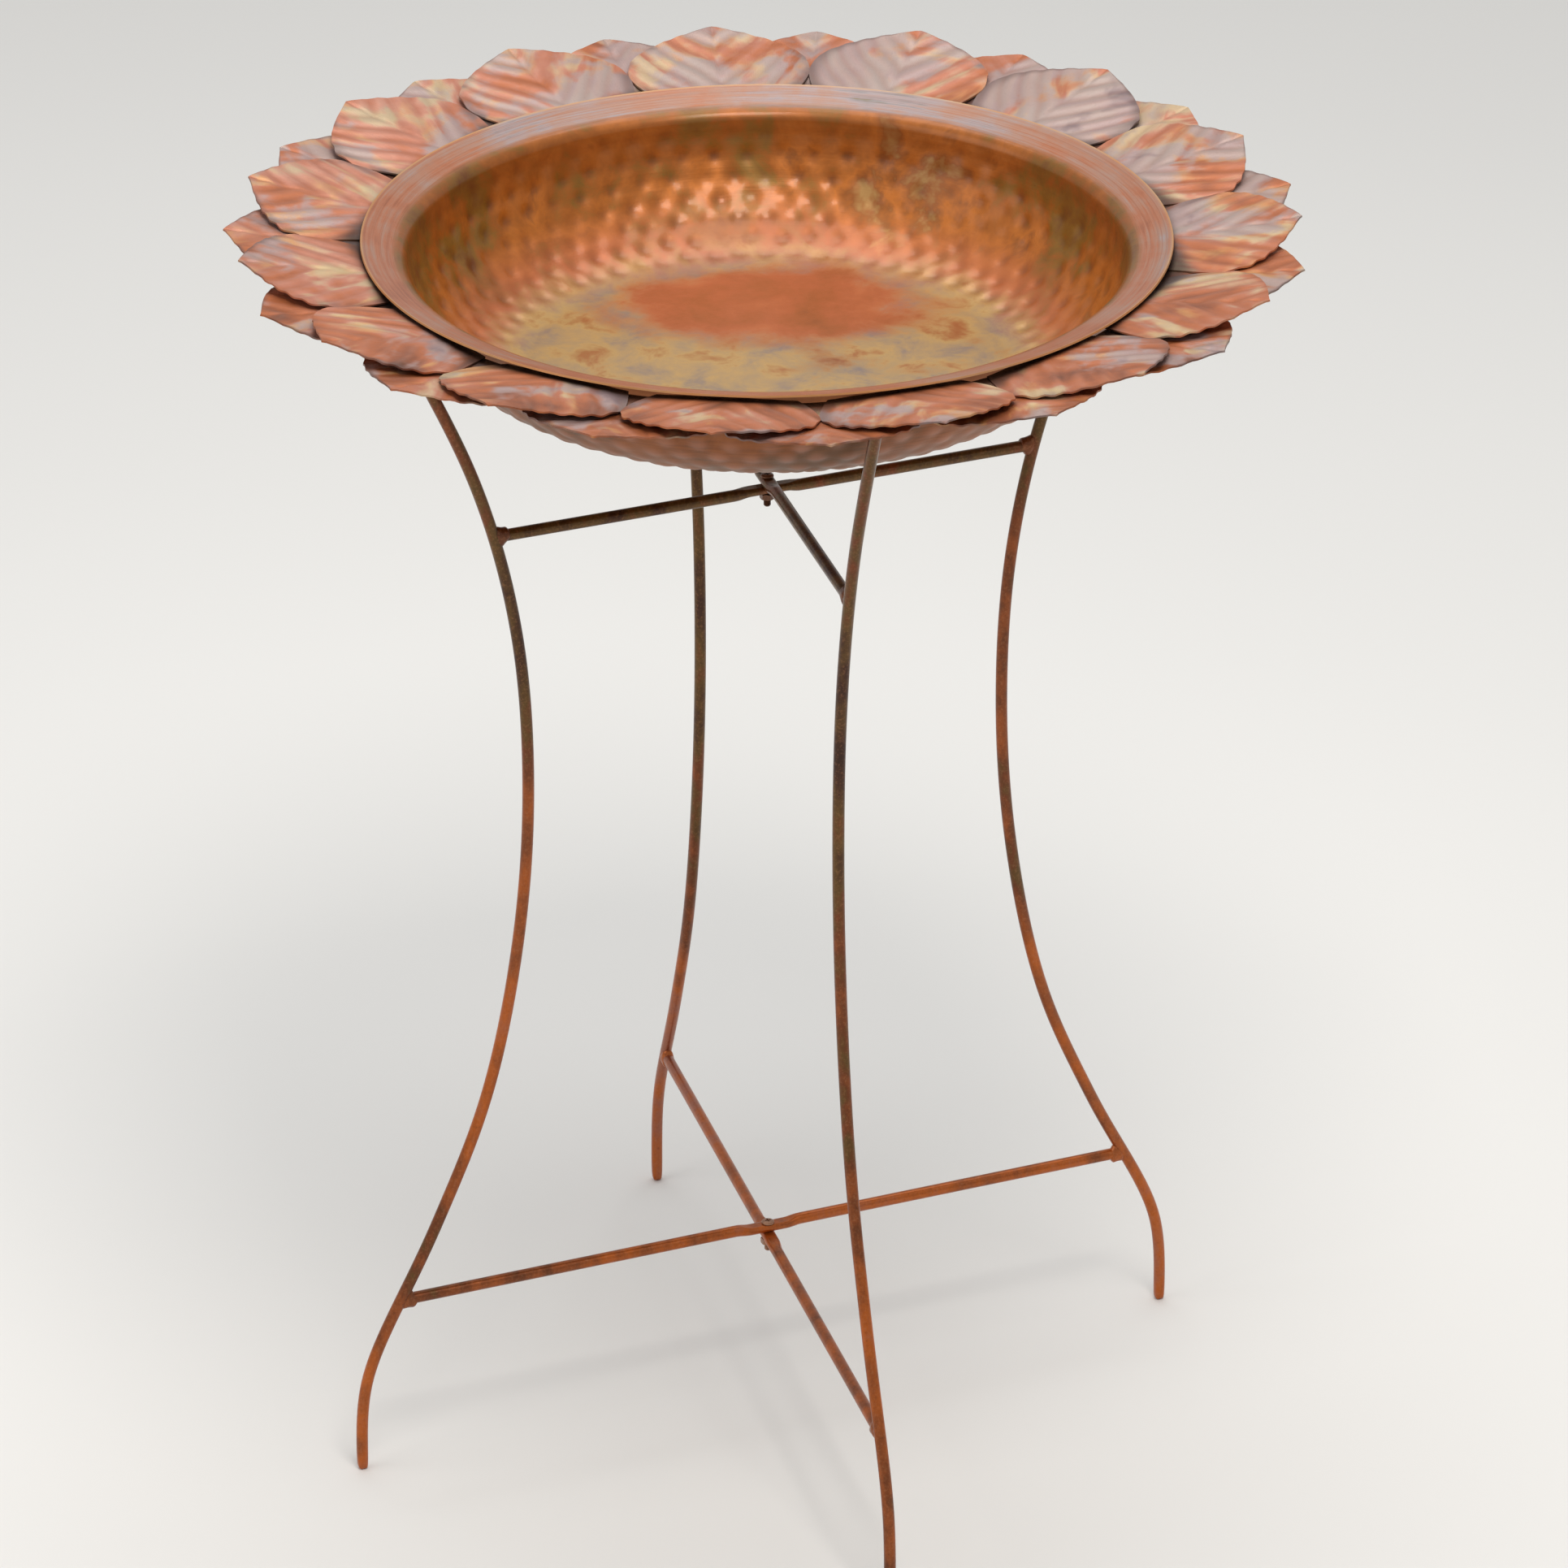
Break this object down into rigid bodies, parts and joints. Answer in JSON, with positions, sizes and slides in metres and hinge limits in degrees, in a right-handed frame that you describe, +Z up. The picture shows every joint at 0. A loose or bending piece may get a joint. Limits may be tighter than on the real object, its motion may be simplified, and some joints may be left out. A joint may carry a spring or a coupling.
{
  "type": "bird bath",
  "caption": "Round hammered-copper basin ringed by two rows of leaf-shaped petals, resting on the leg tips of a folding stand made of bent rod.",
  "frame": {"origin": "on the ground, under the centre of the basin, on the axis of the two pivot bolts", "axes": "+Z up along the pivot bolts, +X along the plane of stand frame A towards leg_a_right; frame B stands 83 degrees round from it at rest"},
  "size_m": [0.5577, 0.5585, 0.6961],
  "materials": {
    "basin_copper": "flamed copper, semi-gloss, orange-brown with grey and olive streaks; hammered wall",
    "petal_copper": "flamed copper, semi-gloss, salmon with lavender-grey, blue-grey and gold patches",
    "stand_rod": "copper-brown paint on steel rod, semi-gloss, a little worn",
    "pivot_hardware": "dark brown painted steel bolts and nuts"
  },
  "bodies": {
    "frame_a": {"leg_a_right": "stand_rod", "leg_a_left": "stand_rod", "lower_bar_a": "stand_rod", "upper_bar_a": "stand_rod", "lower_pivot_bolt": "pivot_hardware", "lower_pivot_nut": "pivot_hardware", "upper_pivot_bolt": "pivot_hardware", "upper_pivot_nut": "pivot_hardware"},
    "frame_b": {"leg_b_back": "stand_rod", "leg_b_front": "stand_rod", "lower_bar_b": "stand_rod", "upper_bar_b": "stand_rod"},
    "basin_with_petals": {"basin": "basin_copper", "petal_upper_01": "petal_copper", "petal_upper_02": "petal_copper", "petal_upper_03": "petal_copper", "petal_upper_04": "petal_copper", "petal_upper_05": "petal_copper", "petal_upper_06": "petal_copper", "petal_upper_07": "petal_copper", "petal_upper_08": "petal_copper", "petal_upper_09": "petal_copper", "petal_upper_10": "petal_copper", "petal_upper_11": "petal_copper", "petal_upper_12": "petal_copper", "petal_upper_13": "petal_copper", "petal_upper_14": "petal_copper", "petal_upper_15": "petal_copper", "petal_lower_01": "petal_copper", "petal_lower_02": "petal_copper", "petal_lower_03": "petal_copper", "petal_lower_04": "petal_copper", "petal_lower_05": "petal_copper", "petal_lower_06": "petal_copper", "petal_lower_07": "petal_copper", "petal_lower_08": "petal_copper", "petal_lower_09": "petal_copper", "petal_lower_10": "petal_copper", "petal_lower_11": "petal_copper", "petal_lower_12": "petal_copper", "petal_lower_13": "petal_copper", "petal_lower_14": "petal_copper", "petal_lower_15": "petal_copper"}
  },
  "joints": [
    {"name": "stand_fold", "type": "hinge", "parent": "frame_a", "child": "frame_b", "pos_m": [0, 0, 0.3], "axis": [0, 0, 1], "range_deg": [-78, 92]},
    {"name": "basin_lift", "type": "slide", "parent": "frame_a", "child": "basin_with_petals", "axis": [0, 0, 1], "range_m": [0, 0.12]}
  ]
}
